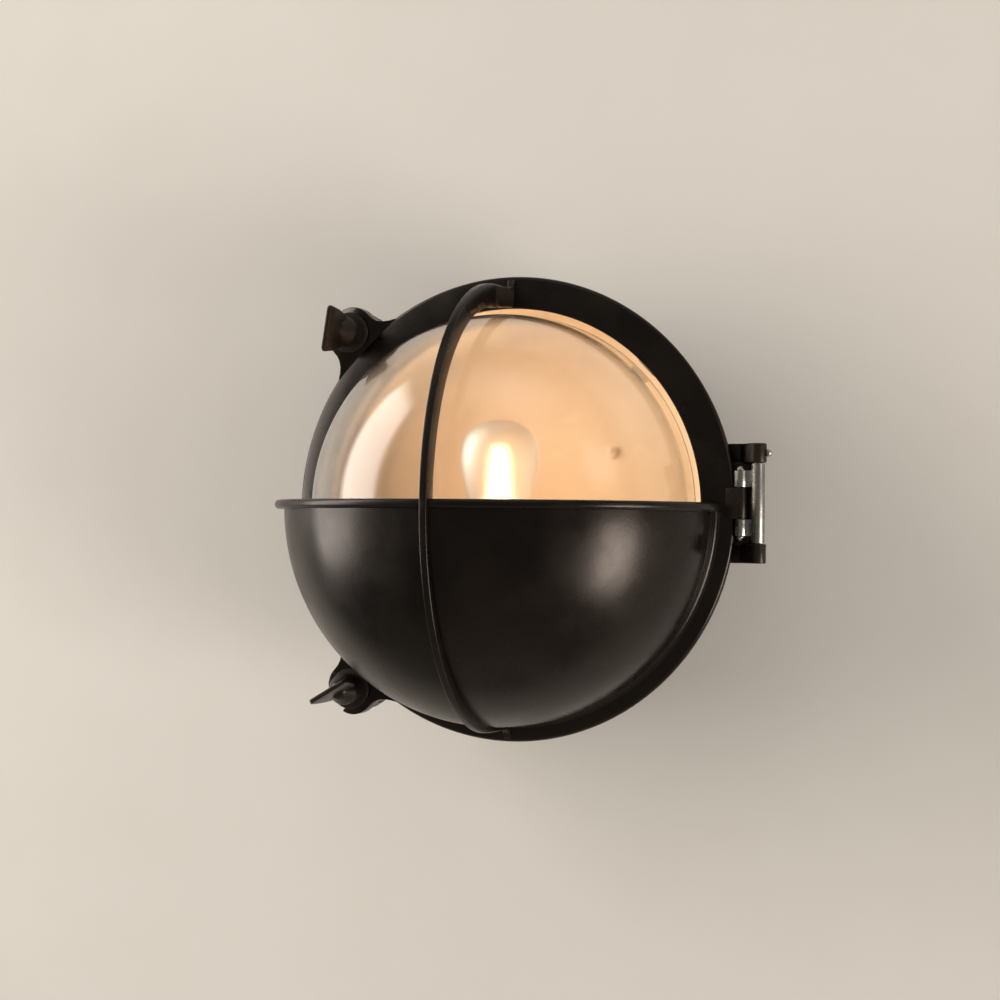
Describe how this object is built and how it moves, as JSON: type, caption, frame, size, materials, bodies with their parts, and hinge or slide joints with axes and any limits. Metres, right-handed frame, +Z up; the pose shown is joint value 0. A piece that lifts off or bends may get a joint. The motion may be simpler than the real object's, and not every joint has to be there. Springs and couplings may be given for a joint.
{
  "type": "outdoor wall light",
  "caption": "Round bulkhead wall light with a clear glass dome, half cover, guard bar, hinged front and swing bolts with wing nuts.",
  "frame": {"origin": "centre of the round back face that sits on the wall", "axes": "+X to the right, towards the hinge, +Z up, the front looks along -Y away from the wall"},
  "size_m": [0.2255, 0.1512, 0.21],
  "materials": {
    "frame_metal": "satin black",
    "housing_metal": "satin black",
    "bolt_metal": "satin black",
    "hinge_metal": "dark, worn bright on its edges",
    "steel": "zinc plated",
    "white_enamel": "gloss white",
    "clear_glass": "clear, gloss",
    "lamp_glass": "clear, gloss",
    "glow": "glowing",
    "brass": "polished",
    "rubber": "matte black",
    "lead_cover": "matte",
    "white_plastic": "gloss"
  },
  "bodies": {
    "back": {"housing": "housing_metal", "housing_gasket": "rubber", "cable_grommet": "rubber", "terminal_block": "white_plastic", "earth_screw": "brass", "reflector": "white_enamel", "reflector_screws": "white_enamel", "lampholder_bracket": "steel", "bracket_screws": "steel", "lampholder": "white_plastic", "holder_nut": "brass", "lamp_leads": "lead_cover", "bulb_cap": "brass", "bulb_filament": "glow", "bulb_glass": "lamp_glass", "hinge_outer_pin": "steel", "hinge_locking_screw": "steel", "bolt_pivot_pin_upper": "bolt_metal", "bolt_pivot_pin_lower": "bolt_metal"},
    "link": {"hinge_link": "hinge_metal", "hinge_inner_pin": "steel"},
    "front": {"front_frame": "frame_metal", "glass_dome": "clear_glass", "glass_seal": "rubber", "glass_clips": "steel", "clip_screws": "steel"},
    "upper_bolt": {"swing_bolt_upper": "bolt_metal", "nut_washer_upper": "bolt_metal"},
    "upper_nut": {"wing_nut_upper": "bolt_metal"},
    "lower_bolt": {"swing_bolt_lower": "bolt_metal", "nut_washer_lower": "bolt_metal"},
    "lower_nut": {"wing_nut_lower": "bolt_metal"}
  },
  "joints": [
    {"name": "link_swing", "type": "hinge", "parent": "back", "child": "link", "pos_m": [0.1144, -0.0485, 0.003], "axis": [0, 0, 1], "range_deg": [0, 72]},
    {"name": "front_swing", "type": "hinge", "parent": "link", "child": "front", "pos_m": [0.1066, -0.0485, 0.003], "axis": [0, 0, 1], "range_deg": [0, 78]},
    {"name": "upper_bolt_swing", "type": "hinge", "parent": "back", "child": "upper_bolt", "pos_m": [-0.07892, -0.03, 0.08087], "axis": [-0.7157, 0, -0.6984], "range_deg": [0, 100]},
    {"name": "lower_bolt_swing", "type": "hinge", "parent": "back", "child": "lower_bolt", "pos_m": [-0.07663, -0.03, -0.08304], "axis": [0.7349, 0, -0.6782], "range_deg": [0, 100]},
    {"name": "upper_nut_spin", "type": "hinge", "parent": "upper_bolt", "child": "upper_nut", "pos_m": [-0.07892, -0.0546, 0.08087], "axis": [0, -1, 0], "continuous": true},
    {"name": "lower_nut_spin", "type": "hinge", "parent": "lower_bolt", "child": "lower_nut", "pos_m": [-0.07663, -0.0546, -0.08304], "axis": [0, -1, 0], "continuous": true}
  ]
}
